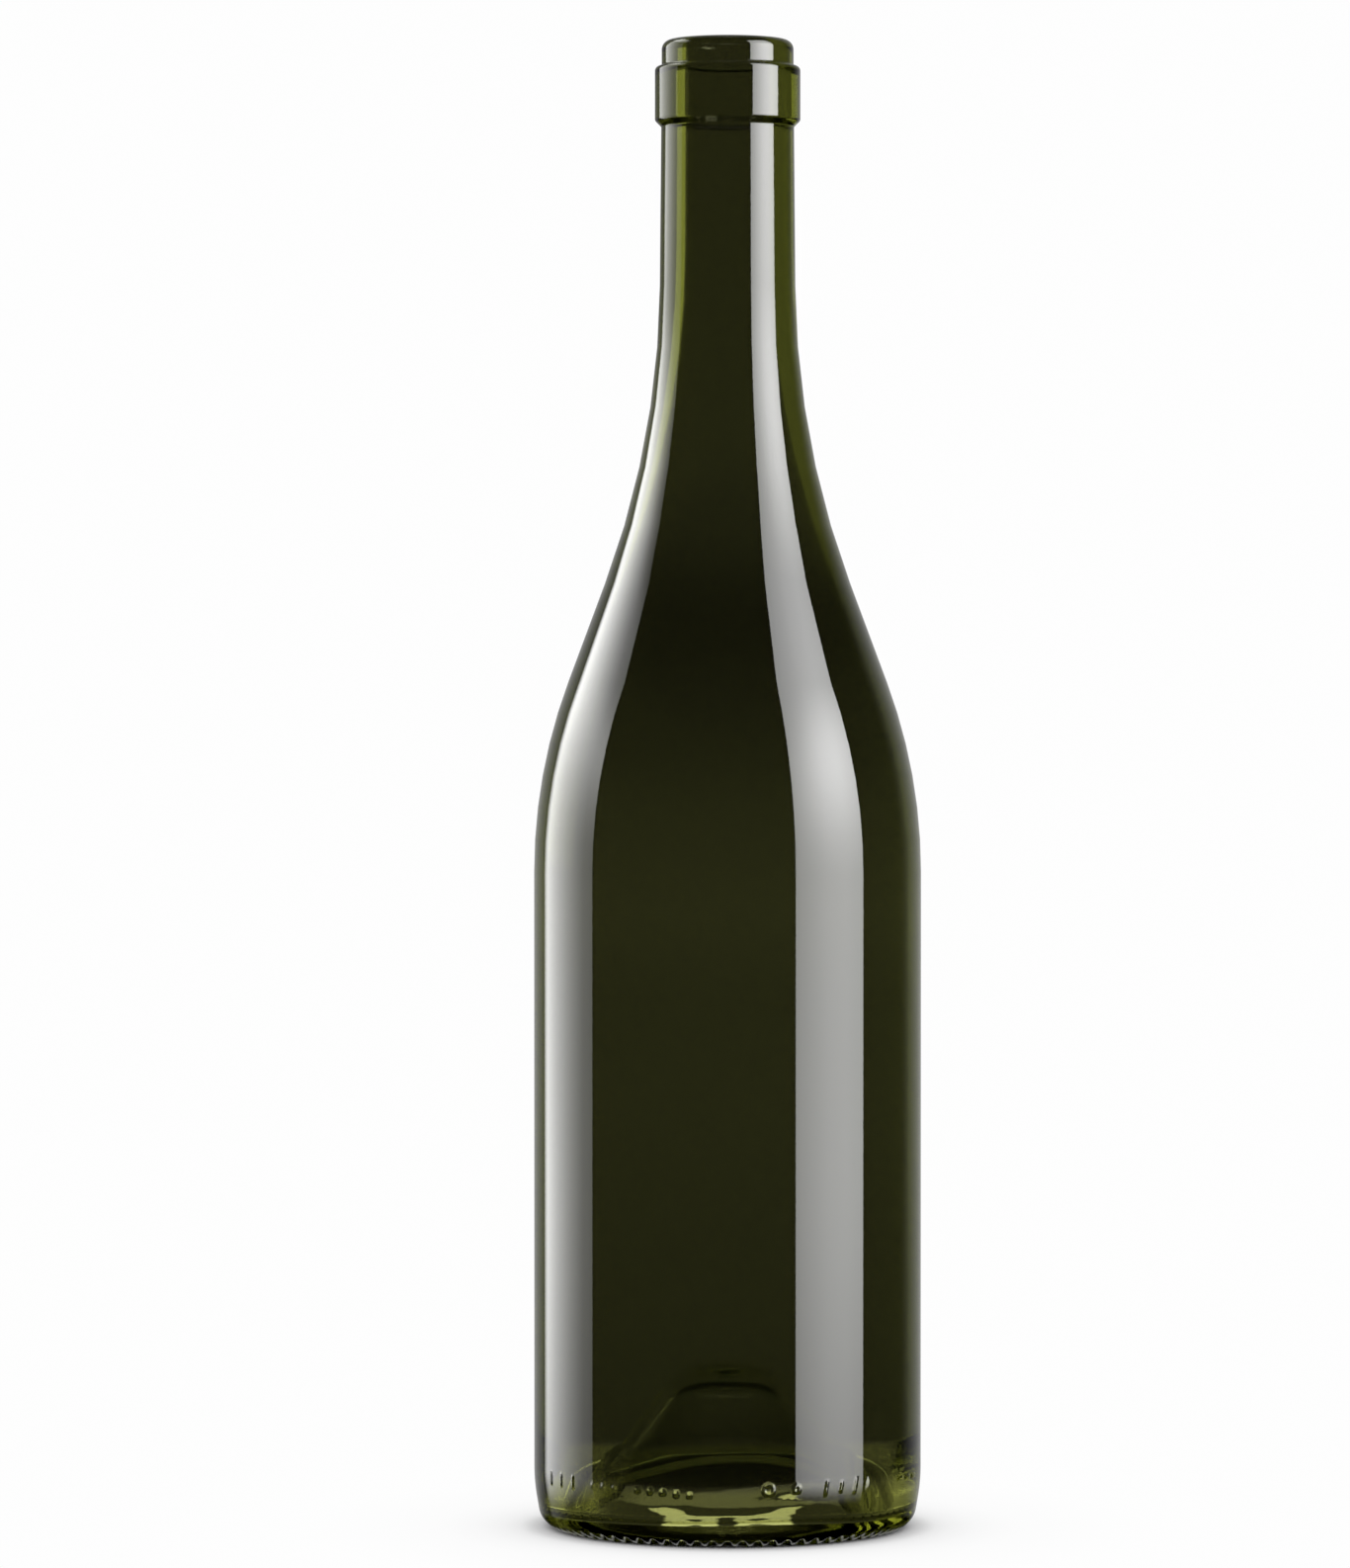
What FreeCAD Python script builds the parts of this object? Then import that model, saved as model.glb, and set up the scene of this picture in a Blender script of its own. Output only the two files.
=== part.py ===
import FreeCAD
import Part

import math
import os

# A 750 ml Burgundy wine bottle in dark green glass: one piece, blown and pressed in a mould.
# The axis is +Z, the origin is the middle of the circle that it stands on. Millimetres and degrees.

# Overall
height = 306.6
body_diameter = 79.9
body_wall = 2.6

# Shoulder: a straight flank between a round shoulder and a long hollow curve into the neck
flank_angle = 20.45  # from the axis
flank_wall = 2.8
shoulder_radius = 111.7
neck_curve_radius = 180.0

# Neck
neck_diameter = 27.4  # under the band
neck_length = 32.7  # from the band to where the hollow curve begins
neck_taper = 0.5
neck_wall = 5.1  # at the foot of the neck

# Cork finish: a lip with a wider band under it
lip_diameter = 27.2
lip_height = 5.4
lip_edge_radius = 2.0
band_diameter = 30.0
band_height = 12.5
band_under_slope = 1.3  # height of the slanted underside
band_top_radius = 1.3
band_foot_radius = 0.8
finish_corner_radius = 0.5
bore_diameter = 17.3
bore_edge_radius = 1.2

# Heel, outside: a steep insweep and a tight curve into the ring that it stands on
heel_height = 9.4  # where the insweep would leave the straight body
insweep_angle = 9.6
insweep_radius = 38.0
heel_radius = 4.5
bearing_width = 1.2  # the flat left between the two curves

# Punt, the hollow pushed up into the base, seen from below
punt_depth = 30.0
punt_flank_angle = 36.0  # from the axis
punt_mouth_radius = 6.0
punt_top_radius = 10.0
punt_wall = 3.0
punt_top_wall = 4.5

# Heel, inside: the wall thickens towards the valley round the punt
thick_heel_height = 20.0
thick_heel_wall = 5.0
thick_heel_radius = 12.0
valley_height = 7.0
valley_radius = 2.5

# Knurls: arched grooves across the ring that it stands on
knurl_count = 76
knurl_radius = 1.15
knurl_depth = 0.35  # at the middle of the ring
knurl_tilt = 18.0  # each groove deepens outwards
knurl_reach = 4.5  # to each side of the ring's middle


def tan(degrees):
    return math.tan(math.radians(degrees))


def cos(degrees):
    return math.cos(math.radians(degrees))


def sin(degrees):
    return math.sin(math.radians(degrees))


def meet(a, slope_a, b, slope_b):
    """Where two flanks meet: each has a point (r, z) and a slope, its change of r for each mm up."""
    z = (b[0] - a[0] + slope_a * a[1] - slope_b * b[1]) / (slope_a - slope_b)
    return a[0] + slope_a * (z - a[1]), z


def point(r, z):
    return FreeCAD.Vector(r, 0, z)


def rounded(corners):
    """The edges of an outline in the XZ plane through (r, z, radius) corners, each rounded to its radius.

    A radius that its two sides have no room for is made smaller, so that neighbouring curves never cross.
    """
    places = [point(r, z) for r, z, _ in corners]
    sides = [b - a for a, b in zip(places, places[1:])]
    turns = [0.0] + [a.getAngle(b) for a, b in zip(sides, sides[1:])] + [0.0]
    cuts = [radius * math.tan(turn / 2) for (_, _, radius), turn in zip(corners, turns)]
    shares = []
    for side, first, second in zip(sides, cuts, cuts[1:]):
        shares.append(min(1.0, 0.98 * side.Length / (first + second)) if first + second > 0 else 1.0)
    for i in range(1, len(corners) - 1):
        cuts[i] *= min(shares[i - 1], shares[i])
    edges = []
    start = places[0]
    for i in range(1, len(corners)):
        along = (places[i] - places[i - 1]).normalize()
        end = places[i] - along * cuts[i]
        if (end - start).Length > 1e-6:
            edges.append(Part.LineSegment(start, end).toShape())
        start = end
        if cuts[i] > 1e-6:
            away = (places[i + 1] - places[i]).normalize()
            leave = places[i] + away * cuts[i]
            radius = cuts[i] / math.tan(turns[i] / 2)
            inward = (away - along).normalize()
            middle = places[i] + inward * (radius / math.cos(turns[i] / 2) - radius)
            edges.append(Part.Arc(end, middle, leave).toShape())
            start = leave
    return edges


body_radius = body_diameter / 2
body_inner_radius = body_radius - body_wall
band_bottom = height - lip_height - band_height
neck_foot = (neck_diameter / 2 + neck_length * tan(neck_taper), band_bottom - neck_length)

# Where the flanks of the heel and of the punt would meet the plane that the bottle stands on
heel_foot = body_radius - heel_height * tan(insweep_angle)
bearing_outer_radius = heel_foot - heel_radius * tan(45 - insweep_angle / 2)
bearing_inner_radius = bearing_outer_radius - bearing_width
bearing_radius = (bearing_outer_radius + bearing_inner_radius) / 2
punt_foot = bearing_inner_radius - punt_mouth_radius * tan(45 - punt_flank_angle / 2)


def shoulder_corners():
    """Outside: where the flank would meet the neck, and where it would meet the body."""
    lean = neck_curve_radius * tan((flank_angle - neck_taper) / 2)
    top = (neck_foot[0] + lean * sin(neck_taper), neck_foot[1] - lean * cos(neck_taper))
    bottom = (body_radius, top[1] - (body_radius - top[0]) / tan(flank_angle))
    return top, bottom


def finish_corners():
    """The lip and the band, from the neck up and over into the bore."""
    return [
        (neck_diameter / 2, band_bottom, finish_corner_radius),
        (band_diameter / 2, band_bottom + band_under_slope, band_foot_radius),
        (band_diameter / 2, height - lip_height, band_top_radius),
        (lip_diameter / 2, height - lip_height, finish_corner_radius),
        (lip_diameter / 2, height, lip_edge_radius),
        (bore_diameter / 2, height, bore_edge_radius),
    ]


def outer_corners():
    """From the top of the punt, under the base and up the outside to the bore."""
    neck_corner, body_corner = shoulder_corners()
    return [
        (0, punt_depth, 0),
        (punt_foot - punt_depth * tan(punt_flank_angle), punt_depth, punt_top_radius),
        (punt_foot, 0, punt_mouth_radius),
        (heel_foot, 0, heel_radius),
        (body_radius, heel_height, insweep_radius),
        (*body_corner, shoulder_radius),
        (*neck_corner, neck_curve_radius),
        *finish_corners(),
    ]


def inner_corners():
    """From the bore down the inside to the middle of the floor."""
    neck_corner, body_corner = shoulder_corners()
    bore_slope = -(neck_foot[0] - neck_wall - bore_diameter / 2) / (height - neck_foot[1])
    flank_foot = (body_corner[0] - flank_wall / cos(flank_angle), body_corner[1])
    neck_inner = meet((bore_diameter / 2, height), bore_slope, flank_foot, -tan(flank_angle))
    body_inner_z = flank_foot[1] + (flank_foot[0] - body_inner_radius) / tan(flank_angle)
    punt_slope = -tan(punt_flank_angle)
    punt_inner = (punt_foot + punt_wall / cos(punt_flank_angle), 0)
    valley_wall = body_radius - thick_heel_wall
    heel_slope = (body_inner_radius - valley_wall) / (thick_heel_height - valley_height)
    valley = meet((valley_wall, valley_height), heel_slope, punt_inner, punt_slope)
    floor_top = punt_depth + punt_top_wall
    crown = (punt_inner[0] + punt_slope * floor_top, floor_top)
    return [
        (*neck_inner, neck_curve_radius + neck_wall),
        (body_inner_radius, body_inner_z, shoulder_radius - body_wall),
        (body_inner_radius, thick_heel_height, thick_heel_radius),
        (*valley, valley_radius),
        (*crown, punt_top_radius + punt_top_wall),
        (0, floor_top, 0),
    ]


def glass():
    """The bottle's glass: one outline turned round the axis."""
    edges = rounded(outer_corners() + inner_corners())
    axis_edge = Part.LineSegment(edges[-1].lastVertex().Point, edges[0].firstVertex().Point).toShape()
    outline = Part.Face(Part.Wire(edges + [axis_edge]))
    return outline.revolve(FreeCAD.Vector(0, 0, 0), FreeCAD.Vector(0, 0, 1), 360)


def knurl_groove():
    """One groove across the ring at +X, a round rod that rises outwards."""
    along = FreeCAD.Vector(cos(knurl_tilt), 0, sin(knurl_tilt))
    middle = FreeCAD.Vector(bearing_radius, 0, knurl_depth - knurl_radius / cos(knurl_tilt))
    return Part.makeCylinder(knurl_radius, 2 * knurl_reach, middle - along * knurl_reach, along)


def bottle():
    rod = knurl_groove()
    rods = []
    for i in range(knurl_count):
        turned = rod.copy()
        turned.rotate(FreeCAD.Vector(0, 0, 0), FreeCAD.Vector(0, 0, 1), 360 * i / knurl_count)
        rods.append(turned)
    return glass().cut(rods)


os.makedirs("parts", exist_ok=True)
made = bottle()
solid = made.Solids[0]
print("solids", len(made.Solids), "valid", solid.isValid(), "glass ml", round(solid.Volume / 1000, 2))
solid.exportStep("parts/bottle.step")
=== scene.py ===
import bisect
import math

import bpy
import numpy as np
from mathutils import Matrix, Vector


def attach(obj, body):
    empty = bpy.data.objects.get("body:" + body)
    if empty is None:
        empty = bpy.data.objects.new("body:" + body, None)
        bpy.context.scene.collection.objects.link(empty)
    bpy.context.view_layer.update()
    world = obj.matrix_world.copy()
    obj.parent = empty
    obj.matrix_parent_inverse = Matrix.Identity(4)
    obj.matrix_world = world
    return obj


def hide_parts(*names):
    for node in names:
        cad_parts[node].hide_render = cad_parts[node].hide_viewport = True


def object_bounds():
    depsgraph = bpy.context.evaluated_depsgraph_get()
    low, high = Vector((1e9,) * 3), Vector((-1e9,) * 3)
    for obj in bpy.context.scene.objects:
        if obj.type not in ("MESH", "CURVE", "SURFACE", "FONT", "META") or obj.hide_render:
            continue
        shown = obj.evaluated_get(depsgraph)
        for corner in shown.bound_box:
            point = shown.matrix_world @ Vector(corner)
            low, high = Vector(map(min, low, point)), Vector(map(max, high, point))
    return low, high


# An empty, open 750 ml Burgundy bottle in dark green glass, on a white table in front of a white backdrop.
# The bottle's axis is +Z, it stands at z = 0, and its front faces -Y.
# The glass is in millimetres and the studio in metres.
# Angles are in degrees, and those round the axis go from the front towards the right.

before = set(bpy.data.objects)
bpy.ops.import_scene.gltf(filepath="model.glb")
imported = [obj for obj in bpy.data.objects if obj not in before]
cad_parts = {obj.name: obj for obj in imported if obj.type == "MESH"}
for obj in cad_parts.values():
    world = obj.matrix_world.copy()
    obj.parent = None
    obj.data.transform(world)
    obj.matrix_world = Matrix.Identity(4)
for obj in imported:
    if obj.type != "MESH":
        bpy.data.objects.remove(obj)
cad_low, cad_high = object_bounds()
RADIUS = cad_high.x
HEIGHT = cad_high.z
MM = 0.001
TINY = 1e-6

# The glass, as the solid has it
BODY_WALL = 2.6
FLANK_ANGLE = 20.45
FLANK_WALL = 2.8
SHOULDER_RADIUS = 111.7
NECK_CURVE_RADIUS = 180.0
NECK_DIAMETER = 27.4
NECK_LENGTH = 32.7
NECK_TAPER = 0.5
NECK_WALL = 5.1
LIP_DIAMETER = 27.2
LIP_HEIGHT = 5.4
LIP_EDGE_RADIUS = 2.0
BAND_DIAMETER = 30.0
BAND_HEIGHT = 12.5
BAND_UNDER_SLOPE = 1.3
BAND_TOP_RADIUS = 1.3
BAND_FOOT_RADIUS = 0.8
FINISH_CORNER_RADIUS = 0.5
BORE_DIAMETER = 17.3
BORE_EDGE_RADIUS = 1.2
HEEL_HEIGHT = 9.4
INSWEEP_ANGLE = 9.6
INSWEEP_RADIUS = 38.0
HEEL_RADIUS = 4.5
BEARING_WIDTH = 1.2
PUNT_DEPTH = 30.0
PUNT_FLANK_ANGLE = 36.0
PUNT_MOUTH_RADIUS = 6.0
PUNT_TOP_RADIUS = 10.0
PUNT_WALL = 3.0
PUNT_TOP_WALL = 4.5
THICK_HEEL_HEIGHT = 20.0
THICK_HEEL_WALL = 5.0
THICK_HEEL_RADIUS = 12.0
VALLEY_HEIGHT = 7.0
VALLEY_RADIUS = 2.5
KNURL_COUNT = 76
KNURL_RADIUS = 1.15
KNURL_DEPTH = 0.35
KNURL_TILT = 18.0
KNURL_BLEND = 0.12  # softness of the grooves' edges
CURVE_ROOM = 0.98  # the share of a side that the curves at its ends may take

# Plain mould marks round the heel, the same on both sides: a curved row of dots, rings and short bars
MARK_HEIGHT = 11.9
MARK_RELIEF = 0.24
MARK_LINE = 0.32  # half the width of a line
DOT_START = -43.0
DOT_PITCH = 4.0
DOT_COUNT = 9
DOT_LEFT_OUT = 3
DOT_SAG = 0.9
DOT_RADIUS = 0.62
DOT_SHRINK = 0.05
RING_RISE = 0.2
RINGS = [(12.0, 1.0), (20.5, 0.6)]  # angle, radius
BARS = [  # angle of the first, pitch, half lengths, lean from upright, rise
    (30.0, 5.2, (1.3, 0.8, 1.3, 0.8), 12.0, 0.1),
    (62.0, 5.0, (0.9, 0.9, 0.9), 90.0, 0.0),
    (-52.0, -6.0, (1.1, 1.1, 1.1), 0.0, 0.0),
]

# The inside of the thick heel is a little uneven: (waves round the axis, size, phase in radians)
SETTLED_SWAY = [(2, 0.225, 0.8), (3, 0.125, 2.1), (7, 0.06, 0.4)]
SETTLED_DIP = [(1, 0.40, 2.5), (3, 0.30, 0.3), (5, 0.15, 1.2)]
SETTLED_FULL = 9.0  # full up to this height
SETTLED_TOP = 25.0
SETTLED_BEYOND = 12.0  # none nearer the axis than this
SMOOTHED_TOP = 26.0  # up to here the inside is shaded from its uneven shape

# What passes through the glass: shares of red, green and blue for a pair of crossings, by height. The dark
# green is the glass's own; its changes with height are painted light and shade, with painted light at the
# heel.
HEEL_TINT_WITH_PAINTED_LIGHT = (0.15, 0.157, 0.042)
BODY_TINT = (3.38, 3.72, 0.683)  # for each unit of the shares below
BODY_SHARES_WITH_PAINTED_LIGHT = [
    (13.6, 0.0120), (24.0, 0.0128), (44.0, 0.0150), (92.0, 0.0178), (110.0, 0.0174), (128.0, 0.0210),
    (145.0, 0.0174), (163.0, 0.0118), (187.0, 0.0072), (198.0, 0.0092), (212.0, 0.0165),
]
OUTSIDE_TINTS_WITH_PAINTED_LIGHT = [(11.4, HEEL_TINT_WITH_PAINTED_LIGHT)] + [(z, tuple(share * c for c in BODY_TINT)) for z, share in BODY_SHARES_WITH_PAINTED_LIGHT]
# Inside and punt: lighter low on the inside wall, as painted light, and darker low in the punt, as painted
# shade
INSIDE_TINTS_WITH_PAINTED_LIGHT = [(9.5, (0.70, 0.70, 0.62)), (12.5, (0.30, 0.28, 0.53))]
PUNT_UNDER_TINTS_WITH_PAINTED_SHADE = [(9.0, (0.52, 0.53, 0.32)), (11.5, (0.70, 0.70, 0.66)), (24.0, (0.96, 0.96, 0.92))]
PUNT_FLOOR_TINTS_WITH_PAINTED_SHADE = [(12.0, (0.70, 0.70, 0.64)), (24.0, (0.96, 0.96, 0.92))]
PAINTED_LIGHT_TINT_NAME = "glass_tint_with_painted_light"
GLASS_IOR = 1.52
ABSORPTION = 25.0  # in the depth of the glass
ABSORPTION_COLOUR = (0.60, 0.627, 0.0)

# Mesh
COARSE_AROUND = 2 * KNURL_COUNT
FINE_PER_COARSE = 6
FINE_TOP = 14.0  # rows are close together on the outside, from the punt's mouth to here
FINE_PUNT_RISE = 1.6
FINE_STEP = 0.36
COARSE_STEP = 9.0
ARC_STEP = 4.0
RELIEF_HEIGHTS = [(-1.0, 3.2), (10.0, 13.8)]  # rows with more points, for the knurls and the marks

# The room, by direction: how far behind, to the side and up, as shares of 1. The studio is what reflections
# see; the ceiling and the side light are seen only through the glass.
BACKGROUND = 0.988
CEILING = 0.05
CEILING_EDGE = (0.45, 0.60)
STUDIO_FRONT = 0.01
STUDIO_BACK = 0.45
STUDIO_EDGE = (0.55, 1.05)
STUDIO_FLOOR_EDGE = (-0.28, -0.13)
SIDE_LIGHT = 2.6  # the left soft box, for what the thick wall of the neck turns towards it
SIDE_START = (0.32, 0.36)
SIDE_END = (0.75, 0.81)
SIDE_LEFT = (-0.3, -0.2)
SIDE_LOW = (-0.02, 0.02)
SIDE_HIGH = (0.35, 0.45)

# Soft boxes: angles of the near and the far edge, level, its shares from near to far, the share of the
# width over which the near edge comes up, and a brighter patch: place across, height, both spreads, level
CARD_DISTANCE = 1.0
CARD_LOW = -0.285
CARD_HIGH = 1.3
CARD_FADE = 0.30
RIGHT_ANGLES = (39.6, 86.4)
RIGHT_LEVEL = 7.4
RIGHT_SHARES = [(0.0, 0.75), (0.2, 0.87), (0.45, 1.0), (0.7, 1.0), (1.0, 0.84)]
RIGHT_SOFT = 0.02
RIGHT_PATCH = (0.65, 0.46, 0.50, 0.25, 6.6)
LEFT_ANGLES = (-140.5, -86.0)
LEFT_LEVEL = 5.0
LEFT_SHARES = [(0.0, 1.0), (0.25, 1.0), (0.5, 0.81), (0.62, 0.66), (0.85, 0.38), (1.0, 0.33)]
LEFT_SOFT = 0.17
LEFT_PATCH = (0.6, 0.45, 1.5, 0.17, 2.5)

# A net beside the neck, which dims the left soft box's reflection there
NET_ANGLES = (-165.0, -75.0)
NET_DISTANCE = 0.12
NET_LOW = 0.225
NET_HIGH = 0.36
NET_EDGE = (0.234, 0.262)
NET_SHARES = [(0.0, 0.58), (0.4, 0.56), (0.62, 0.42), (0.80, 0.25), (1.0, 0.2)]

# The table, by the distance from the axis: how much of it glows plain white instead of shaded, as painted
# light that lifts the bottle's shadow, the painted light it shows through the glass, and the narrow ring of
# it that reflections see, which glows as painted light for the knurls' glints
TABLE_HALF = 6.0
TABLE_WHITE = 0.98
TABLE_REACH = 0.1
SHADOW_LIFT = [
    (0.036, 0.0), (0.040, 0.15), (0.043, 0.55), (0.046, 0.70), (0.052, 0.84), (0.060, 0.93), (0.088, 1.0),
]
BESIDE = [(0.0375, 0.5), (0.0432, 0.6), (0.0448, 6.0), (0.0464, 1.0), (0.055, 1.2), (0.08, 0.98)]
UNDER_EDGE = (0.0365, 0.0385)
MIRROR_INNER_EDGE = (0.0357, 0.0362)
MIRROR_OUTER_EDGE = (0.0365, 0.0370)

# Painted light on the table under the punt, for what the glass gathers there. Its depth is y less GLOW_BOW
# times x squared
GLOW = 2.0
GLOW_BOW = 17.5
GLOW_SHIFT = 0.0022
GLOW_WAVES = 150.0
GLOW_WAVE_DETAIL = 1.5
GLOW_BAND_LEVEL = 0.20
GLOW_BAND_FRONT = (0.0084, 0.0090)
GLOW_BAND_BACK = (0.0118, 0.0126)
GLOW_BAND_SIDES = (0.016, 0.027)
GLOW_BAND_SIDE_SHARE = 0.35
GLOW_FAINT = 0.05
FAINT_EDGE = (0.0118, 0.0150)
FAINT_BACK_SHARE = 0.2
PATCH_HALF = 0.0130
PATCH_FLARE = 0.6  # half its width grows by this much for each unit of depth, from PATCH_FLARE_HALF
PATCH_FLARE_HALF = 0.0120
PATCH_SIDE_SOFT = 0.0008
PATCH_BACK = (0.0026, 0.0074)  # the depth of its back edge, in the middle and on the wings
PATCH_WINGS = (0.0040, 0.0125)
PATCH_BACK_SOFT = 0.0006
SPOT_ASIDE = (0.0063, 0.0017)  # two dark spots: place and spread
SPOT_DEEP = (-0.0255, 0.0045)
SPOT_EDGE = (0.7, 1.1)
GAP_SIDES = (0.0014, 0.0022)
GAP_END = (-0.008, -0.004)

# The camera: a long lens a little over half way up the bottle, which stands a little right of the middle
SENSOR = 36.0
LENS = 154.28
CAMERA_REACH = 50.0
CAMERA_PLACE = (0.0, -1.387, 0.179)
CAMERA_AIM = (-0.01085, 0.0, 0.1533)


def tan(degrees):
    return math.tan(math.radians(degrees))


def cos(degrees):
    return math.cos(math.radians(degrees))


def sin(degrees):
    return math.sin(math.radians(degrees))


def eased(t):
    """0 to 1 with a soft start and end, for a number or an array from 0 to 1."""
    return t * t * (3 - 2 * t)


# ---------------------------------------------------------------- outline

def meet(a, slope_a, b, slope_b):
    """Where two flanks meet: each has a point (r, z) and a slope, its change of r for each mm up."""
    z = (b[0] - a[0] + slope_a * a[1] - slope_b * b[1]) / (slope_a - slope_b)
    return a[0] + slope_a * (z - a[1]), z


body_radius = RADIUS / MM
height = HEIGHT / MM
body_inner_radius = body_radius - BODY_WALL
band_bottom = height - LIP_HEIGHT - BAND_HEIGHT
neck_foot = (NECK_DIAMETER / 2 + NECK_LENGTH * tan(NECK_TAPER), band_bottom - NECK_LENGTH)
heel_foot = body_radius - HEEL_HEIGHT * tan(INSWEEP_ANGLE)
bearing_outer_radius = heel_foot - HEEL_RADIUS * tan(45 - INSWEEP_ANGLE / 2)
bearing_inner_radius = bearing_outer_radius - BEARING_WIDTH
bearing_radius = (bearing_outer_radius + bearing_inner_radius) / 2
punt_foot = bearing_inner_radius - PUNT_MOUTH_RADIUS * tan(45 - PUNT_FLANK_ANGLE / 2)
fine_punt_radius = punt_foot - FINE_PUNT_RISE * tan(PUNT_FLANK_ANGLE)


def shoulder_corners():
    """Outside: where the flank would meet the neck, and where it would meet the body."""
    lean = NECK_CURVE_RADIUS * tan((FLANK_ANGLE - NECK_TAPER) / 2)
    top = (neck_foot[0] + lean * sin(NECK_TAPER), neck_foot[1] - lean * cos(NECK_TAPER))
    bottom = (body_radius, top[1] - (body_radius - top[0]) / tan(FLANK_ANGLE))
    return top, bottom


def outer_corners():
    """(r, z, radius) from the top of the punt, under the base and up the outside to the bore."""
    neck_corner, body_corner = shoulder_corners()
    return [
        (0, PUNT_DEPTH, 0),
        (punt_foot - PUNT_DEPTH * tan(PUNT_FLANK_ANGLE), PUNT_DEPTH, PUNT_TOP_RADIUS),
        (fine_punt_radius, FINE_PUNT_RISE, 0),
        (punt_foot, 0, PUNT_MOUTH_RADIUS),
        (heel_foot, 0, HEEL_RADIUS),
        (body_radius, HEEL_HEIGHT, INSWEEP_RADIUS),
        (body_radius, FINE_TOP, 0),
        (*body_corner, SHOULDER_RADIUS),
        (*neck_corner, NECK_CURVE_RADIUS),
        (NECK_DIAMETER / 2, band_bottom, FINISH_CORNER_RADIUS),
        (BAND_DIAMETER / 2, band_bottom + BAND_UNDER_SLOPE, BAND_FOOT_RADIUS),
        (BAND_DIAMETER / 2, height - LIP_HEIGHT, BAND_TOP_RADIUS),
        (LIP_DIAMETER / 2, height - LIP_HEIGHT, FINISH_CORNER_RADIUS),
        (LIP_DIAMETER / 2, height, LIP_EDGE_RADIUS),
        (BORE_DIAMETER / 2, height, BORE_EDGE_RADIUS),
    ]


def inner_corners():
    """(r, z, radius) from the bore down the inside to the middle of the floor."""
    neck_corner, body_corner = shoulder_corners()
    bore_slope = -(neck_foot[0] - NECK_WALL - BORE_DIAMETER / 2) / (height - neck_foot[1])
    flank_foot = (body_corner[0] - FLANK_WALL / cos(FLANK_ANGLE), body_corner[1])
    neck_inner = meet((BORE_DIAMETER / 2, height), bore_slope, flank_foot, -tan(FLANK_ANGLE))
    body_inner_z = flank_foot[1] + (flank_foot[0] - body_inner_radius) / tan(FLANK_ANGLE)
    punt_slope = -tan(PUNT_FLANK_ANGLE)
    punt_inner = (punt_foot + PUNT_WALL / cos(PUNT_FLANK_ANGLE), 0)
    valley_wall = body_radius - THICK_HEEL_WALL
    heel_slope = (body_inner_radius - valley_wall) / (THICK_HEEL_HEIGHT - VALLEY_HEIGHT)
    valley = meet((valley_wall, VALLEY_HEIGHT), heel_slope, punt_inner, punt_slope)
    floor_top = PUNT_DEPTH + PUNT_TOP_WALL
    crown = (punt_inner[0] + punt_slope * floor_top, floor_top)
    return [
        (*neck_inner, NECK_CURVE_RADIUS + NECK_WALL),
        (body_inner_radius, body_inner_z, SHOULDER_RADIUS - BODY_WALL),
        (body_inner_radius, THICK_HEEL_HEIGHT, THICK_HEEL_RADIUS),
        (*valley, VALLEY_RADIUS),
        (*crown, PUNT_TOP_RADIUS + PUNT_TOP_WALL),
        (0, floor_top, 0),
    ]


def is_fine(r, z):
    """True on the stretch under and round the heel where rows are close together."""
    return r > fine_punt_radius and z < FINE_TOP and r > body_inner_radius - (FINE_TOP - z)


def has_relief(r, z):
    return is_fine(r, z) and any(low < z < high for low, high in RELIEF_HEIGHTS)


def straight(a, b):
    """Rows (r, z, nr, nz) along a straight stretch, without its first point."""
    length = math.dist(a, b)
    along = ((b[0] - a[0]) / length, (b[1] - a[1]) / length)
    middle = ((a[0] + b[0]) / 2, (a[1] + b[1]) / 2)
    steps = math.ceil(length / (FINE_STEP if is_fine(*middle) else COARSE_STEP))
    rows = []
    for k in range(1, steps + 1):
        s = length * k / steps
        rows.append((a[0] + along[0] * s, a[1] + along[1] * s, along[1], -along[0]))
    return rows


def arc(start, along, turn, radius):
    """Rows along an arc that leaves start in the direction along and turns left by turn radians."""
    side = math.copysign(1, turn)
    centre = (start[0] - along[1] * radius * side, start[1] + along[0] * radius * side)
    step = math.radians(ARC_STEP)
    if is_fine(*start):
        step = min(step, FINE_STEP / radius)
    steps = math.ceil(abs(turn) / step)
    rows = []
    for k in range(1, steps + 1):
        a = turn * k / steps
        way_r = along[0] * math.cos(a) - along[1] * math.sin(a)
        way_z = along[0] * math.sin(a) + along[1] * math.cos(a)
        rows.append((centre[0] + way_z * radius * side, centre[1] - way_r * radius * side, way_z, -way_r))
    return rows


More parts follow.
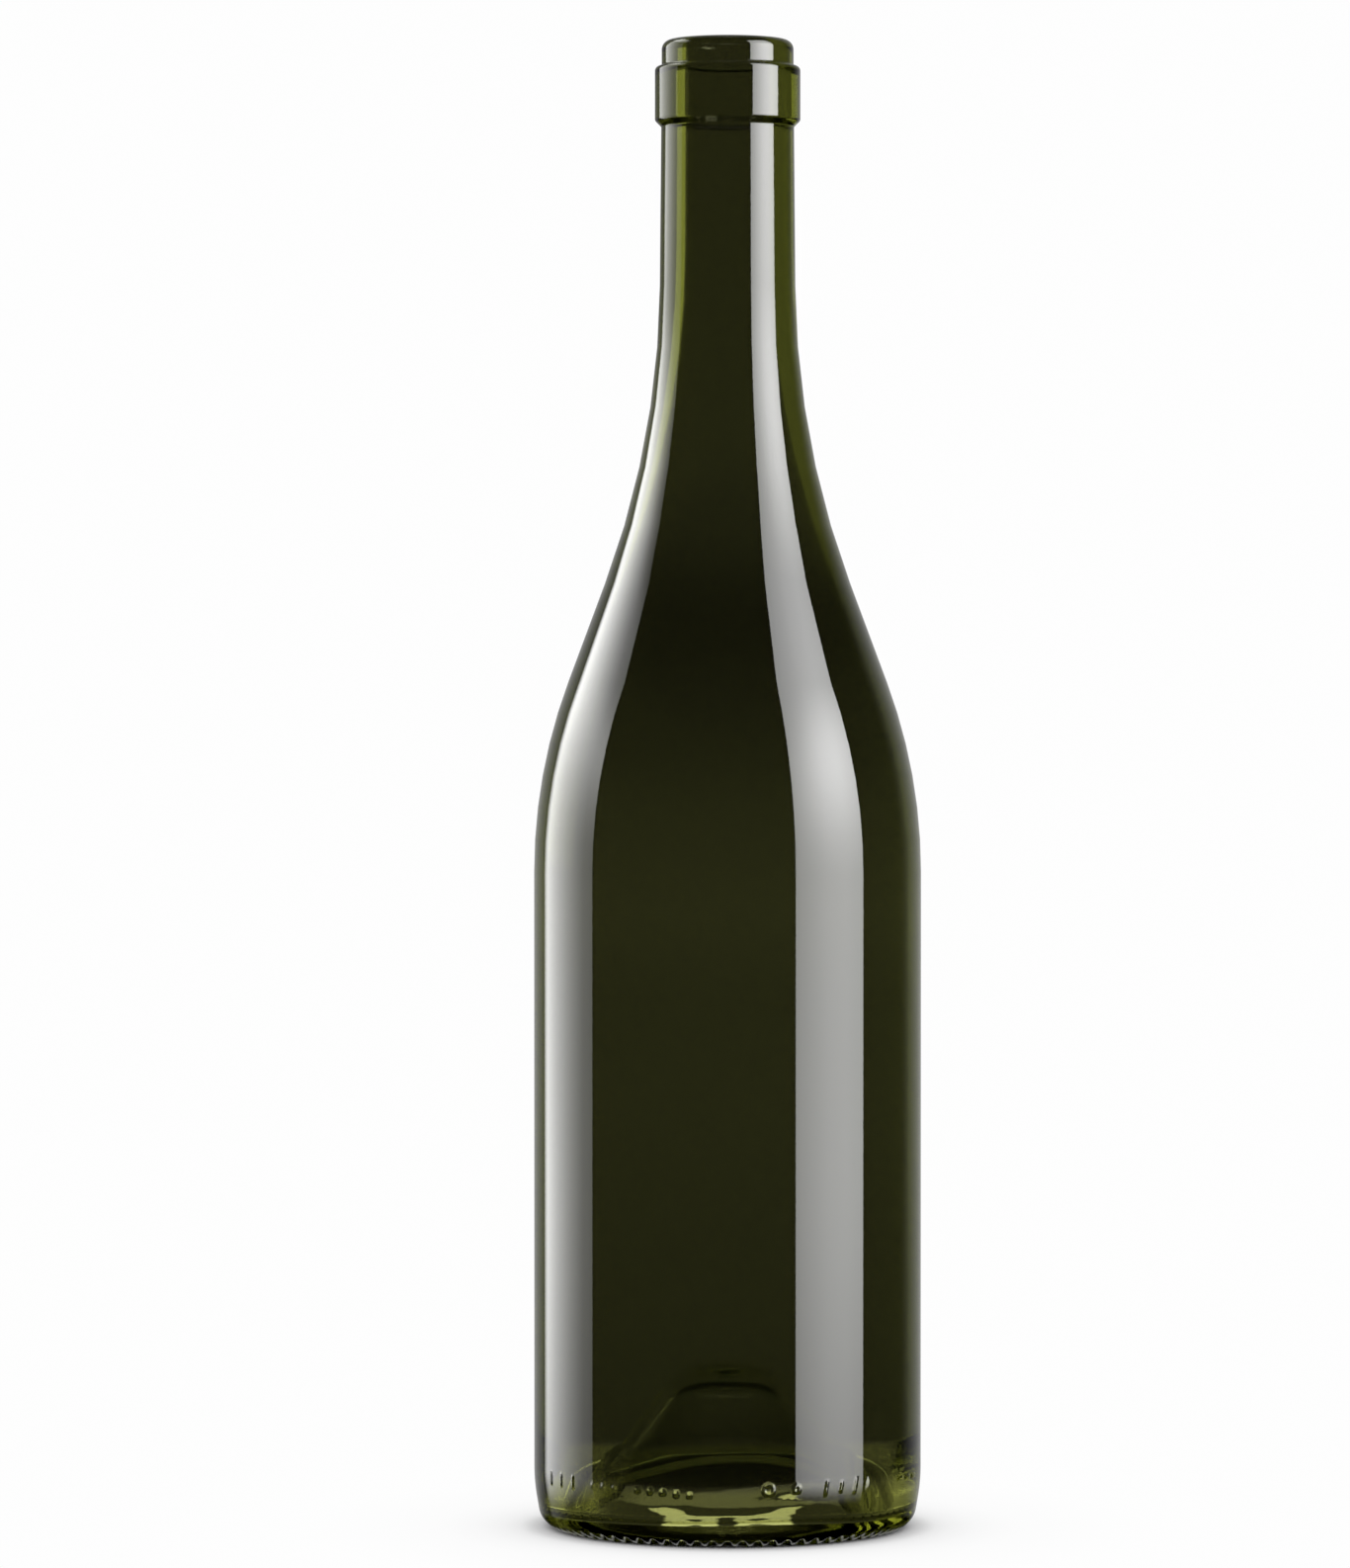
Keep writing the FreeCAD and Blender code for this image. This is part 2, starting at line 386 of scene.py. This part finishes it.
def rounded(corners):
    """Rows along an outline through the corners, each rounded as far as its sides have room."""
    lengths = [math.dist(a[:2], b[:2]) for a, b in zip(corners, corners[1:])]
    ways = [
        ((b[0] - a[0]) / length, (b[1] - a[1]) / length)
        for a, b, length in zip(corners, corners[1:], lengths)
    ]
    turns = [0.0]
    for a, b in zip(ways, ways[1:]):
        turns.append(math.atan2(a[0] * b[1] - a[1] * b[0], a[0] * b[0] + a[1] * b[1]))
    turns.append(0.0)
    cuts = [corner[2] * math.tan(abs(turn) / 2) for corner, turn in zip(corners, turns)]
    room = []
    for length, first, second in zip(lengths, cuts, cuts[1:]):
        total = first + second
        room.append(min(1.0, CURVE_ROOM * length / total) if total > 0 else 1.0)
    for i in range(1, len(corners) - 1):
        cuts[i] *= min(room[i - 1], room[i])
    place = corners[0][:2]
    rows = [(*place, ways[0][1], -ways[0][0])]
    for i in range(1, len(corners)):
        way = ways[i - 1]
        end = (corners[i][0] - way[0] * cuts[i], corners[i][1] - way[1] * cuts[i])
        if math.dist(place, end) > TINY:
            rows += straight(place, end)
        place = end
        if cuts[i] > TINY:
            rows += arc(place, way, turns[i], cuts[i] / math.tan(abs(turns[i]) / 2))
            place = rows[-1][:2]
    return rows


# ---------------------------------------------------------------- relief

def soft_max(a, b, blend):
    return (a + b + np.sqrt((a - b) ** 2 + blend ** 2)) / 2


def knurled(r, z, theta):
    """Heights of the underside after the round grooves across the ring are pressed up into it."""
    pitch = 2 * math.pi / KNURL_COUNT
    off = (theta + pitch / 2) % pitch - pitch / 2
    sideways = r * np.sin(off)
    outwards = r * np.cos(off) - bearing_radius
    axis_height = KNURL_DEPTH - KNURL_RADIUS / cos(KNURL_TILT) + outwards * tan(KNURL_TILT)
    rod = axis_height + np.sqrt(np.maximum(KNURL_RADIUS ** 2 - sideways ** 2, 0)) / cos(KNURL_TILT)
    return soft_max(z, rod, KNURL_BLEND)


def dome(distance, radius):
    """A soft-edged bump: 1 in the middle, 0 from radius on."""
    return eased(np.clip(1 - (distance / radius) ** 2, 0, 1))


def capsule(u, v, half, lean):
    """Distance from a short straight line of this half length, leaning by some degrees from upright."""
    along = u * sin(lean) + v * cos(lean)
    across = u * cos(lean) - v * sin(lean)
    return np.hypot(across, np.maximum(np.abs(along) - half, 0))


def marks(angle, z):
    """Relief of the plain mould marks at these angles and a height, 0 to 1."""
    relief = np.zeros(len(angle))

    def offsets(at, rise):
        turned = (angle - at + 180) % 360 - 180
        return np.radians(turned) * body_radius, z - MARK_HEIGHT - rise

    def add(distance, radius):
        np.maximum(relief, dome(distance, radius), out=relief)

    for side in (0, 180):
        for k in range(DOT_COUNT):
            if k != DOT_LEFT_OUT:
                u, v = offsets(side + DOT_START + DOT_PITCH * k, -DOT_SAG * (k / (DOT_COUNT - 1)) ** 2)
                add(np.hypot(u, v), DOT_RADIUS - DOT_SHRINK * (k % 3))
        for at, radius in RINGS:
            u, v = offsets(side + at, RING_RISE)
            add(np.abs(np.hypot(u, v) - radius), MARK_LINE)
        for start, pitch, halves, lean, rise in BARS:
            for k, half in enumerate(halves):
                u, v = offsets(side + start + pitch * k, rise)
                add(capsule(u, v, half, lean), MARK_LINE)
    return relief


def waves(terms, theta):
    return sum(size * np.sin(count * theta + phase) for count, size, phase in terms)


def settled(r, z, theta):
    """Shifts of r and z on the inside of the thick heel, as blown glass settles."""
    share = 0.0
    if r > SETTLED_BEYOND:
        share = max(0.0, 1 - max(0.0, z - SETTLED_FULL) / (SETTLED_TOP - SETTLED_FULL))
    return share * waves(SETTLED_SWAY, theta), share * waves(SETTLED_DIP, theta)


# ---------------------------------------------------------------- mesh

def all_round(count):
    """Angles round the axis in radians, from +X."""
    return np.arange(count) * 2 * math.pi / count


def shaped(row, outside):
    """A row's angles, radii and heights in their true shape, and whether it is still a plain circle."""
    r, z, nr, nz = row
    if outside and has_relief(r, z):
        theta = all_round(COARSE_AROUND * FINE_PER_COARSE)
        lift = marks(np.degrees(theta) + 90, z) * MARK_RELIEF
        return theta, r + nr * lift, knurled(r, z, theta) + nz * lift, False
    theta = all_round(1 if r < TINY else COARSE_AROUND)
    radii, heights = np.full(len(theta), r), np.full(len(theta), z)
    if outside or z >= SMOOTHED_TOP:
        return theta, radii, heights, True
    shift_r, shift_z = settled(r, z, theta)
    return theta, radii + shift_r, heights + shift_z, False


def fans(coarse, coarse_count, fine, fine_count):
    """Faces from a coarse row up to a fine one: for each coarse step, a four-sided one between two fans."""
    half = FINE_PER_COARSE // 2
    faces = []
    for k in range(coarse_count):
        here, after = coarse + k, coarse + (k + 1) % coarse_count
        f = [fine + (k * FINE_PER_COARSE + j) % fine_count for j in range(FINE_PER_COARSE + 1)]
        faces += [(here, f[j + 1], f[j]) for j in range(half)]
        faces += [(here, after, f[half + 1], f[half])]
        faces += [(after, f[j + 1], f[j]) for j in range(half + 1, FINE_PER_COARSE)]
    return faces


def strip(lower, upper):
    """Faces between two neighbouring rows of (first point, number of points)."""
    a, na = lower
    b, nb = upper
    if na == 1:
        return [(a, b + (k + 1) % nb, b + k) for k in range(nb)]
    if nb == 1:
        return [(a + k, a + (k + 1) % na, b) for k in range(na)]
    if na == nb:
        return [(a + k, a + (k + 1) % na, b + (k + 1) % nb, b + k) for k in range(na)]
    if na < nb:
        return fans(a, na, b, nb)
    return [tuple(reversed(face)) for face in fans(b, nb, a, na)]


def tint_with_light_at(z, stops):
    """The tint of a surface at a height in millimetres, with its painted light and shade, from (height,
    tint) stops.
    """
    for (low, below), (high, above) in zip(stops, stops[1:]):
        if z <= high:
            t = eased(min(1.0, max(0.0, (z - low) / (high - low))))
            return tuple(a + (b - a) * t for a, b in zip(below, above))
    return stops[-1][1]


def glass_mesh():
    """The bottle's glass as one closed mesh, with the relief outside and each point's tint, which holds
    painted light and shade.
    """
    outline = rounded(outer_corners() + inner_corners())
    top = max(range(len(outline)), key=lambda i: (round(outline[i][1], 4), outline[i][0]))
    ring = min(range(top), key=lambda i: (round(outline[i][1], 4), outline[i][0]))
    valley = min(range(top, len(outline)), key=lambda i: outline[i][1])
    borders = [ring, top + 1, valley]  # where the tints change over
    stretches = [PUNT_UNDER_TINTS_WITH_PAINTED_SHADE, OUTSIDE_TINTS_WITH_PAINTED_LIGHT, INSIDE_TINTS_WITH_PAINTED_LIGHT, PUNT_FLOOR_TINTS_WITH_PAINTED_SHADE]
    points = []
    rows = []
    tints_with_painted_light = []
    round_normals = {}
    for i, row in enumerate(outline):
        theta, radii, heights, is_round = shaped(row, i < top)
        first = len(points)
        rows.append((first, len(theta)))
        points += (np.column_stack((radii * np.cos(theta), radii * np.sin(theta), heights)) * MM).tolist()
        tint_with_painted_light = tint_with_light_at(row[1], stretches[bisect.bisect_right(borders, i)])
        tints_with_painted_light += [*tint_with_painted_light, 1.0] * len(theta)
        if is_round:
            for k, t in enumerate(theta.tolist()):
                round_normals[first + k] = (row[2] * math.cos(t), row[2] * math.sin(t), row[3])
    faces = []
    for lower, upper in zip(rows, rows[1:]):
        faces += strip(lower, upper)
    mesh = bpy.data.meshes.new("glass_bottle")
    mesh.from_pydata(points, [], faces)
    mesh.polygons.foreach_set("use_smooth", [True] * len(faces))
    mesh.update()
    normals = np.zeros(len(points) * 3, np.float32)
    mesh.vertex_normals.foreach_get("vector", normals)
    normals = normals.reshape(-1, 3).tolist()
    for k, normal in round_normals.items():
        normals[k] = normal
    mesh.normals_split_custom_set_from_vertices(normals)
    mesh.attributes.new(PAINTED_LIGHT_TINT_NAME, "FLOAT_COLOR", "POINT").data.foreach_set("color", tints_with_painted_light)
    return mesh


# ---------------------------------------------------------------- shader nodes

def new_material(name):
    material = bpy.data.materials.new(name)
    material.use_nodes = True
    tree = material.node_tree
    tree.nodes.clear()
    return material, tree, tree.nodes.new("ShaderNodeOutputMaterial")


def feed(tree, socket, value):
    """Sets a socket to a number or links it to another socket."""
    if isinstance(value, (int, float)):
        socket.default_value = value
    else:
        tree.links.new(value, socket)


def math_node(tree, operation, *values):
    node = tree.nodes.new("ShaderNodeMath")
    node.operation = operation
    for socket, value in zip(node.inputs, values):
        feed(tree, socket, value)
    return node.outputs[0]


def product(tree, first, *others):
    total = first
    for other in others:
        total = math_node(tree, "MULTIPLY", total, other)
    return total


def squared_share(tree, value, middle, spread):
    """How far a value lies from the middle, in spreads, squared."""
    offset = math_node(tree, "MULTIPLY", math_node(tree, "SUBTRACT", value, middle), 1 / spread)
    return math_node(tree, "MULTIPLY", offset, offset)


def mix_value(tree, share, first, second):
    node = tree.nodes.new("ShaderNodeMix")
    node.data_type = "FLOAT"
    for socket, value in ((node.inputs[0], share), (node.inputs[2], first), (node.inputs[3], second)):
        feed(tree, socket, value)
    return node.outputs[0]


def mix_shader(tree, share, first, second):
    node = tree.nodes.new("ShaderNodeMixShader")
    tree.links.new(share, node.inputs[0])
    tree.links.new(first.outputs[0], node.inputs[1])
    tree.links.new(second.outputs[0], node.inputs[2])
    return node


def smooth_step(tree, value, edge, from_value, to_value):
    """from_value up to the start of the edge and to_value from its end, with a soft step between."""
    node = tree.nodes.new("ShaderNodeMapRange")
    node.interpolation_type = "SMOOTHSTEP"
    tree.links.new(value, node.inputs["Value"])
    for name, number in zip(("From Min", "From Max", "To Min", "To Max"), (*edge, from_value, to_value)):
        node.inputs[name].default_value = number
    return node.outputs[0]


def color_ramp(tree, value, stops):
    """A level that follows (place, level) stops."""
    ramp = tree.nodes.new("ShaderNodeValToRGB")
    elements = ramp.color_ramp.elements
    while len(elements) < len(stops):
        elements.new(0.5)
    for element, (place, level) in zip(elements, stops):
        element.position = place
        element.color = (level, level, level, 1)
    tree.links.new(value, ramp.inputs["Fac"])
    return ramp.outputs["Color"]


def coordinates(tree, name):
    return tree.nodes.new("ShaderNodeTexCoord").outputs[name]


def separated(tree, vector):
    split = tree.nodes.new("ShaderNodeSeparateXYZ")
    tree.links.new(vector, split.inputs[0])
    return split.outputs


def is_through_glass(tree):
    return tree.nodes.new("ShaderNodeLightPath").outputs["Is Transmission Ray"]


def is_mirrored(tree):
    """1 for rays that were last reflected, 0 for rays seen directly or through glass."""
    path = tree.nodes.new("ShaderNodeLightPath")
    not_through = math_node(tree, "SUBTRACT", 1.0, path.outputs["Is Transmission Ray"])
    return math_node(tree, "MULTIPLY", path.outputs["Is Glossy Ray"], not_through)


# ---------------------------------------------------------------- bottle

def dark_green_glass():
    """Clear glass whose surface and depth tint what passes through; the surface's tint, with its painted
    light and shade, is in the mesh.
    """
    material, tree, output = new_material("dark_green_glass")
    shader = tree.nodes.new("ShaderNodeBsdfPrincipled")
    shader.inputs["Transmission Weight"].default_value = 1.0
    shader.inputs["IOR"].default_value = GLASS_IOR
    shader.inputs["Roughness"].default_value = 0.0
    tint_with_painted_light = tree.nodes.new("ShaderNodeAttribute")
    tint_with_painted_light.attribute_name = PAINTED_LIGHT_TINT_NAME
    tree.links.new(tint_with_painted_light.outputs["Color"], shader.inputs["Base Color"])
    depth = tree.nodes.new("ShaderNodeVolumeAbsorption")
    depth.inputs["Color"].default_value = (*ABSORPTION_COLOUR, 1)
    depth.inputs["Density"].default_value = ABSORPTION
    tree.links.new(shader.outputs[0], output.inputs["Surface"])
    tree.links.new(depth.outputs[0], output.inputs["Volume"])
    return material


def make_bottle():
    mesh = glass_mesh()
    mesh.materials.append(dark_green_glass())
    bottle = bpy.data.objects.new("glass_bottle", mesh)
    bpy.context.scene.collection.objects.link(bottle)
    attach(bottle, "root")
    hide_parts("bottle")


# ---------------------------------------------------------------- studio

def make_world():
    """The room: white where it is seen directly and, up to the ceiling, through the glass, which also
    passes on the side light. In reflections it is dark in front and below."""
    world = bpy.data.worlds.new("studio")
    bpy.context.scene.world = world
    world.use_nodes = True
    tree = world.node_tree
    tree.nodes.clear()
    output = tree.nodes.new("ShaderNodeOutputWorld")
    background = tree.nodes.new("ShaderNodeBackground")
    x, y, z = separated(tree, coordinates(tree, "Generated"))
    level = math_node(tree, "SQRT", math_node(tree, "ADD", product(tree, x, x), product(tree, y, y)))
    behind = math_node(tree, "DIVIDE", y, level)
    aside = math_node(tree, "DIVIDE", x, level)
    mirrored = product(
        tree, smooth_step(tree, behind, STUDIO_EDGE, STUDIO_FRONT, STUDIO_BACK),
        smooth_step(tree, z, STUDIO_FLOOR_EDGE, 0.0, 1.0),
    )
    side_light = product(
        tree, smooth_step(tree, behind, SIDE_START, 0.0, SIDE_LIGHT),
        smooth_step(tree, behind, SIDE_END, 1.0, 0.0),
        smooth_step(tree, aside, SIDE_LEFT, 1.0, 0.0),
        smooth_step(tree, z, SIDE_LOW, 0.0, 1.0),
        smooth_step(tree, z, SIDE_HIGH, 1.0, 0.0),
    )
    through = math_node(tree, "ADD", smooth_step(tree, z, CEILING_EDGE, BACKGROUND, CEILING), side_light)
    seen = mix_value(tree, is_through_glass(tree), BACKGROUND, through)
    tree.links.new(mix_value(tree, is_mirrored(tree), seen, mirrored), background.inputs["Color"])
    tree.links.new(background.outputs[0], output.inputs["Surface"])


def around(angle, distance):
    """A place (x, y) at an angle from the front towards the right."""
    return distance * sin(angle), -distance * cos(angle)


def make_panel(name, edges, distance, low, high):
    """An upright panel between two edges' angles, which only reflections see. Its UVs are the share of the
    way across and the height."""
    near, far = (around(angle, distance) for angle in edges)
    mesh = bpy.data.meshes.new(name)
    mesh.from_pydata([(*near, low), (*far, low), (*far, high), (*near, high)], [], [(0, 1, 2, 3)])
    uv = mesh.uv_layers.new(name="UVMap")
    for loop, place in zip(uv.data, [(0, low), (1, low), (1, high), (0, high)]):
        loop.uv = place
    panel = bpy.data.objects.new(name, mesh)
    bpy.context.scene.collection.objects.link(panel)
    panel.visible_camera = False
    panel.visible_diffuse = False
    panel.visible_transmission = False
    panel.visible_shadow = False
    return panel


def light_card(name, edges, level, shares, soft, patch):
    """A tall soft box with a brighter patch. Its near edge is soft and its lower end fades."""
    card = make_panel(name, edges, CARD_DISTANCE, CARD_LOW, CARD_HIGH)
    material, tree, output = new_material(name)
    across, rise, _ = separated(tree, coordinates(tree, "UV"))
    ramp = color_ramp(tree, across, shares)
    fade = smooth_step(tree, rise, (CARD_LOW, CARD_LOW + CARD_FADE), 0.0, level)
    patch_across, patch_height, spread, rise_spread, patch_level = patch
    bell = math_node(
        tree, "ADD", squared_share(tree, across, patch_across, spread),
        squared_share(tree, rise, patch_height, rise_spread),
    )
    bell = math_node(tree, "EXPONENT", math_node(tree, "MULTIPLY", bell, -1.0))
    total = math_node(tree, "ADD", product(tree, ramp, fade), product(tree, bell, patch_level))
    emission = tree.nodes.new("ShaderNodeEmission")
    edge = smooth_step(tree, across, (0.0, soft), 0.0, 1.0)
    tree.links.new(product(tree, total, edge), emission.inputs["Strength"])
    tree.links.new(emission.outputs[0], output.inputs["Surface"])
    card.data.materials.append(material)


def make_net():
    """A net that dims what is behind it, less towards its lower end."""
    net = make_panel("net", NET_ANGLES, NET_DISTANCE, NET_LOW, NET_HIGH)
    material, tree, output = new_material("net")
    across, rise, _ = separated(tree, coordinates(tree, "UV"))
    shade = smooth_step(tree, rise, NET_EDGE, 0.0, 1.0)
    clear = tree.nodes.new("ShaderNodeBsdfTransparent")
    tree.links.new(mix_value(tree, shade, 1.0, color_ramp(tree, across, NET_SHARES)), clear.inputs["Color"])
    tree.links.new(clear.outputs[0], output.inputs["Surface"])
    net.data.materials.append(material)


# ---------------------------------------------------------------- table

def swayed(tree, place):
    """A place on the table shifted a little by noise, so that the glow's edges are uneven."""
    noise = tree.nodes.new("ShaderNodeTexNoise")
    noise.inputs["Scale"].default_value = GLOW_WAVES
    noise.inputs["Detail"].default_value = GLOW_WAVE_DETAIL
    tree.links.new(place, noise.inputs["Vector"])
    sway = tree.nodes.new("ShaderNodeVectorMath")
    sway.operation = "MULTIPLY_ADD"
    tree.links.new(noise.outputs["Color"], sway.inputs[0])
    sway.inputs[1].default_value = (2 * GLOW_SHIFT, GLOW_SHIFT, 0.0)
    sway.inputs[2].default_value = (-GLOW_SHIFT, -GLOW_SHIFT / 2, 0.0)
    shifted = tree.nodes.new("ShaderNodeVectorMath")
    shifted.operation = "ADD"
    tree.links.new(place, shifted.inputs[0])
    tree.links.new(sway.outputs[0], shifted.inputs[1])
    return shifted.outputs[0]


def glow_patch(tree, aside, deep, depth):
    """The painted bright patch: wider towards the back, with two dark spots and a gap in its front's
    middle.
    """
    flare = math_node(tree, "ADD", math_node(tree, "MULTIPLY", depth, PATCH_FLARE), PATCH_FLARE_HALF)
    half = math_node(tree, "MAXIMUM", flare, PATCH_HALF)
    sides = smooth_step(tree, math_node(tree, "SUBTRACT", half, aside), (0.0, PATCH_SIDE_SOFT), 0.0, 1.0)
    past_back = math_node(tree, "SUBTRACT", depth, smooth_step(tree, aside, PATCH_WINGS, *PATCH_BACK))
    back = smooth_step(tree, past_back, (0.0, PATCH_BACK_SOFT), 1.0, 0.0)
    from_spot = math_node(
        tree, "ADD", squared_share(tree, aside, *SPOT_ASIDE), squared_share(tree, deep, *SPOT_DEEP),
    )
    spots = smooth_step(tree, from_spot, SPOT_EDGE, 0.0, 1.0)
    gap = product(
        tree, smooth_step(tree, aside, GAP_SIDES, 1.0, 0.0), smooth_step(tree, deep, GAP_END, 1.0, 0.0),
    )
    return product(tree, sides, back, spots, math_node(tree, "SUBTRACT", 1.0, gap))


def glow_level(tree, place):
    """Painted light on the table under the punt: a bright patch, a band behind it and a faint rest."""
    across, deep, _ = separated(tree, swayed(tree, place))
    aside = math_node(tree, "ABSOLUTE", across)
    depth = math_node(tree, "SUBTRACT", deep, product(tree, across, across, GLOW_BOW))
    band = product(
        tree, smooth_step(tree, depth, GLOW_BAND_FRONT, 0.0, 1.0),
        smooth_step(tree, depth, GLOW_BAND_BACK, 1.0, 0.0),
        smooth_step(tree, aside, GLOW_BAND_SIDES, 1.0, GLOW_BAND_SIDE_SHARE), GLOW_BAND_LEVEL,
    )
    faint = smooth_step(tree, depth, FAINT_EDGE, GLOW_FAINT, GLOW_FAINT * FAINT_BACK_SHARE)
    patch = glow_patch(tree, aside, deep, depth)
    return math_node(tree, "ADD", math_node(tree, "ADD", band, patch), faint)


def level_along(tree, from_axis, stops):
    """A level that follows (distance from the axis, level) stops, none beyond TABLE_REACH."""
    share = math_node(tree, "DIVIDE", from_axis, TABLE_REACH)
    return color_ramp(tree, share, [(place / TABLE_REACH, level) for place, level in stops])


def white_table():
    """White, with the bottle's shadow where it is seen directly, partly lifted by painted white light.
    Through the glass it shows painted light of its own, and reflections see only a narrow ring of it, which
    glows white."""
    material, tree, output = new_material("white_table")
    place = coordinates(tree, "Object")
    length = tree.nodes.new("ShaderNodeVectorMath")
    length.operation = "LENGTH"
    tree.links.new(place, length.inputs[0])
    from_axis = length.outputs["Value"]

    diffuse = tree.nodes.new("ShaderNodeBsdfDiffuse")
    diffuse.inputs["Color"].default_value = (TABLE_WHITE, TABLE_WHITE, TABLE_WHITE, 1)
    white = tree.nodes.new("ShaderNodeEmission")
    white.inputs["Color"].default_value = (BACKGROUND, BACKGROUND, BACKGROUND, 1)
    # painted white light that lifts the bottle's shadow, more of it further from the axis
    direct = mix_shader(tree, level_along(tree, from_axis, SHADOW_LIFT), diffuse, white)

    # painted light on the table, under the punt and in a bright ring beside it, which only the glass shows
    under = math_node(tree, "MULTIPLY", glow_level(tree, place), GLOW)
    beside = level_along(tree, from_axis, BESIDE)
    is_beside = smooth_step(tree, from_axis, UNDER_EDGE, 0.0, 1.0)
    through = tree.nodes.new("ShaderNodeEmission")
    tree.links.new(mix_value(tree, is_beside, under, beside), through.inputs["Color"])
    seen = mix_shader(tree, is_through_glass(tree), direct, through)

    # reflections see only a narrow ring that glows white: painted light that the knurls show as glints
    clear = tree.nodes.new("ShaderNodeBsdfTransparent")
    inside = smooth_step(tree, from_axis, MIRROR_INNER_EDGE, 1.0, 0.0)
    outside = smooth_step(tree, from_axis, MIRROR_OUTER_EDGE, 0.0, 1.0)
    mirrored = mix_shader(tree, math_node(tree, "ADD", inside, outside), white, clear)
    surface = mix_shader(tree, is_mirrored(tree), seen, mirrored)
    tree.links.new(surface.outputs[0], output.inputs["Surface"])
    return material


def make_floor():
    mesh = bpy.data.meshes.new("table_top")
    corners = [(x * TABLE_HALF, y * TABLE_HALF, 0) for x, y in ((-1, -1), (1, -1), (1, 1), (-1, 1))]
    mesh.from_pydata(corners, [], [(0, 1, 2, 3)])
    mesh.materials.append(white_table())
    floor = bpy.data.objects.new("table_top", mesh)
    bpy.context.scene.collection.objects.link(floor)


# ---------------------------------------------------------------- camera

def make_camera():
    data = bpy.data.cameras.new("camera")
    data.sensor_width = SENSOR
    data.lens = LENS
    data.clip_end = CAMERA_REACH
    camera = bpy.data.objects.new("camera", data)
    camera.location = CAMERA_PLACE
    camera.rotation_mode = "QUATERNION"
    camera.rotation_quaternion = (Vector(CAMERA_AIM) - camera.location).to_track_quat("-Z", "Y")
    bpy.context.scene.collection.objects.link(camera)
    bpy.context.scene.camera = camera


make_camera()
make_bottle()
make_world()
make_floor()
make_net()
light_card("right_soft_box", RIGHT_ANGLES, RIGHT_LEVEL, RIGHT_SHARES, RIGHT_SOFT, RIGHT_PATCH)
light_card("left_soft_box", LEFT_ANGLES, LEFT_LEVEL, LEFT_SHARES, LEFT_SOFT, LEFT_PATCH)

scene = bpy.context.scene
scene.view_settings.view_transform = "Standard"
scene.cycles.max_bounces = 32
scene.cycles.transmission_bounces = 28
scene.cycles.glossy_bounces = 16
scene.cycles.transparent_max_bounces = 12
scene.cycles.caustics_reflective = False
scene.cycles.caustics_refractive = False
scene.cycles.use_denoising = True
